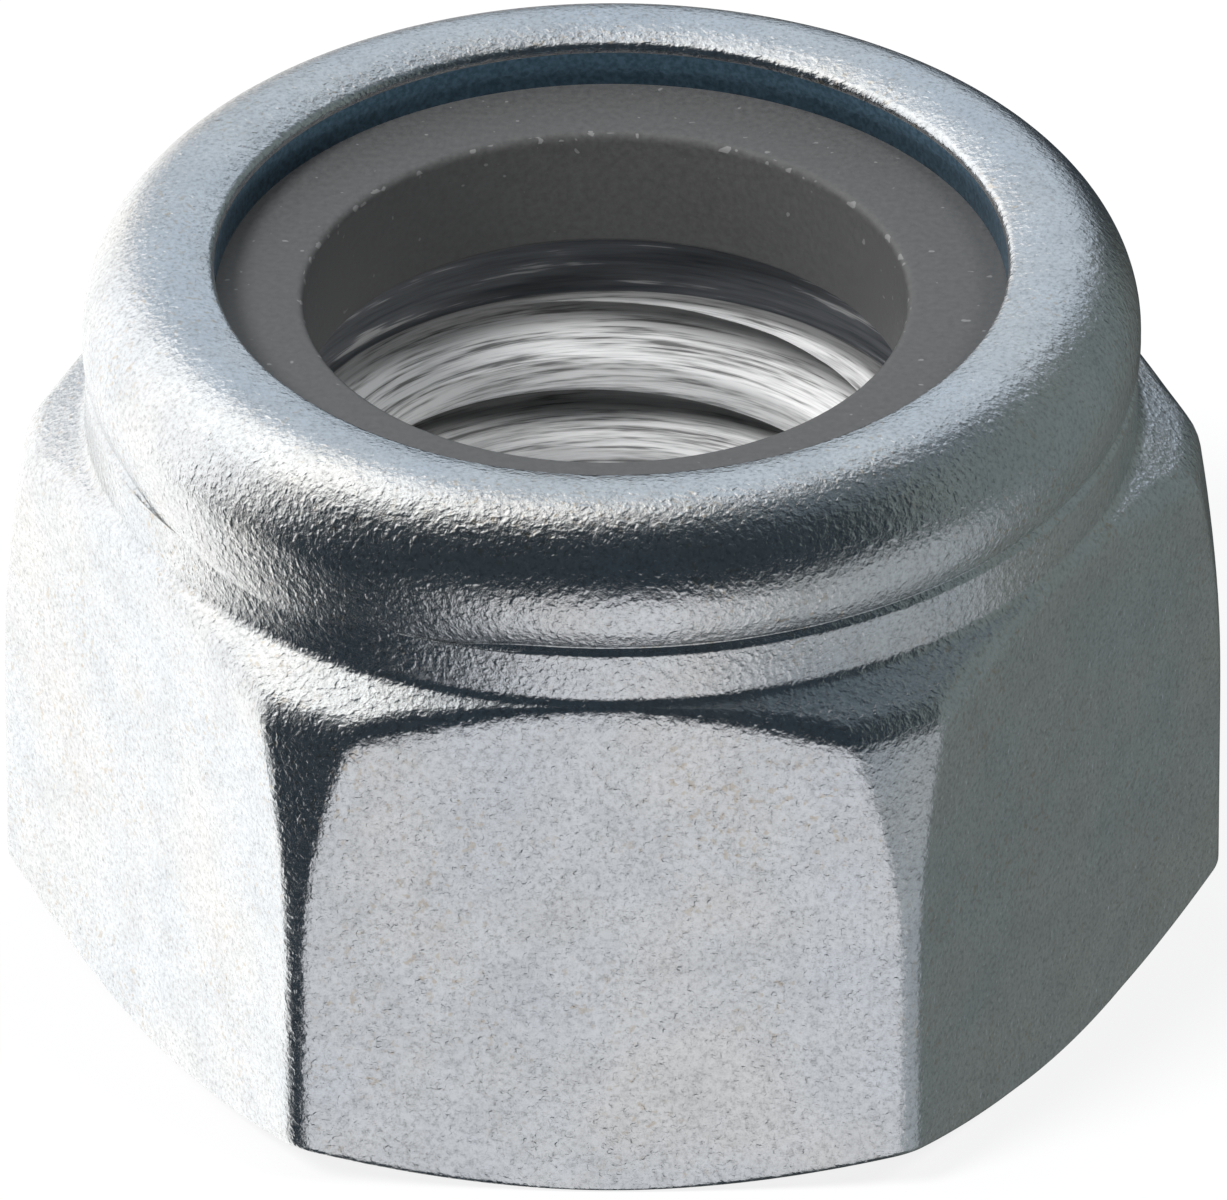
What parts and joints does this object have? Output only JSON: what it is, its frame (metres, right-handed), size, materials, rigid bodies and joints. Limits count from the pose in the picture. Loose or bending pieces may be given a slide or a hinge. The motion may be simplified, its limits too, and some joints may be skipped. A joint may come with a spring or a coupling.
{
  "type": "nylon insert lock nut",
  "caption": "Hexagonal lock nut with a rolled round collar that holds a nylon ring, which grips the bolt's thread.",
  "frame": {"origin": "centre of the bearing face, on the thread axis", "axes": "+Z along the thread axis, from the bearing face to the collar; +X through a corner of the hexagon; -Y out of a flat"},
  "size_m": [0.015, 0.013, 0.0094],
  "materials": {
    "zinc_plated_steel": "zinc plated, fine satin grain",
    "grey_nylon": "matt moulded nylon, dark grey"
  },
  "bodies": {
    "root": {"nut_body": "zinc_plated_steel", "nylon_insert": "grey_nylon"}
  },
  "joints": []
}
